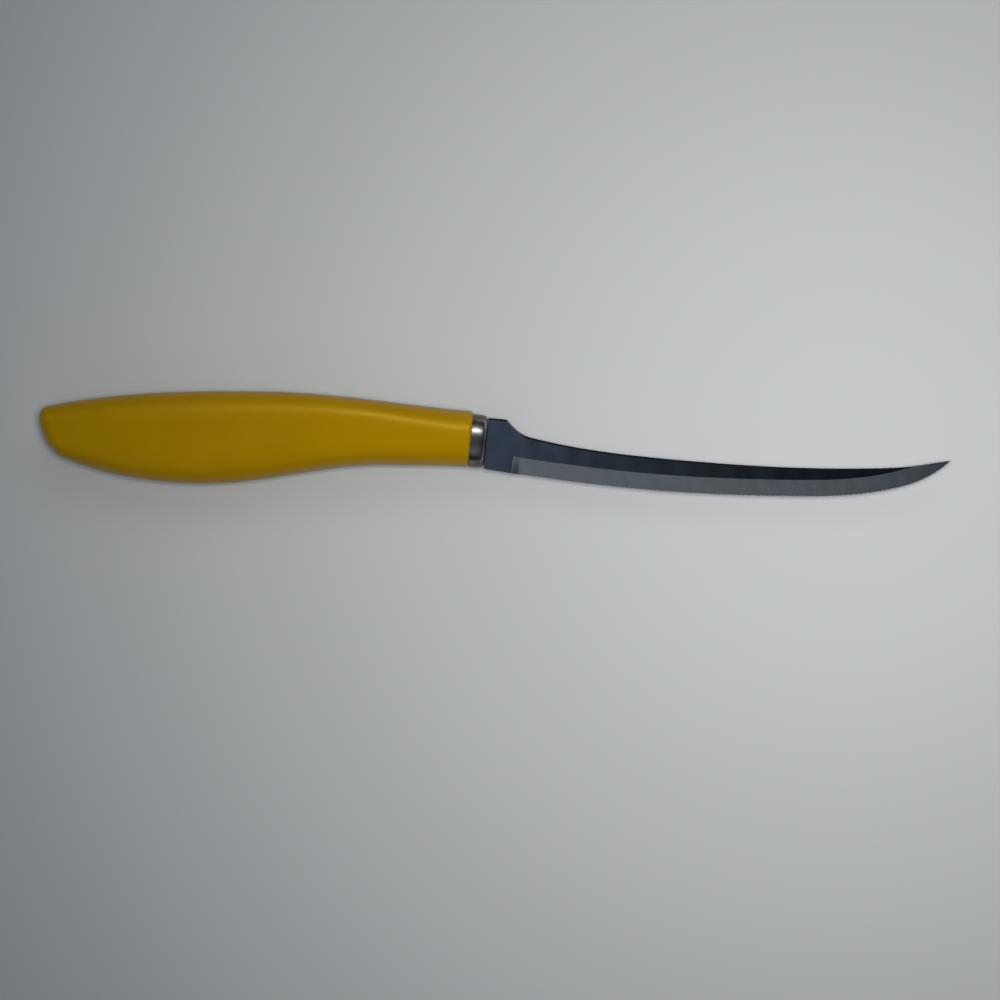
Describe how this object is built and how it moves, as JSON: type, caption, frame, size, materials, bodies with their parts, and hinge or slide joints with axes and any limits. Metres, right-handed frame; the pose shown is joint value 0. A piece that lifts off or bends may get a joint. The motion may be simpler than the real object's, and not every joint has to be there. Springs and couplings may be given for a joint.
{
  "type": "serrated paring knife",
  "caption": "Slim upswept paring knife with a finely serrated ground edge, an oval metal collar and a moulded plastic handle with a slanted rounded butt.",
  "frame": {"origin": "centre of the bounding box in X and Y, at the flank that the knife rests on", "axes": "+X along the handle towards the tip, +Y from the cutting edge towards the back of the blade, +Z out of the upper flank"},
  "size_m": [0.2234, 0.0228, 0.014],
  "materials": {
    "handle_plastic": "satin yellow polypropylene moulding with a fine spark-eroded grain",
    "collar_steel": "drawn stainless steel cup, once polished and dulled by use, with a thin brown film on its narrow sides",
    "blade_steel": "rolled and polished flats, satin ground band along the edge"
  },
  "bodies": {
    "root": {"handle": "handle_plastic", "collar": "collar_steel", "blade": "blade_steel"}
  },
  "joints": []
}
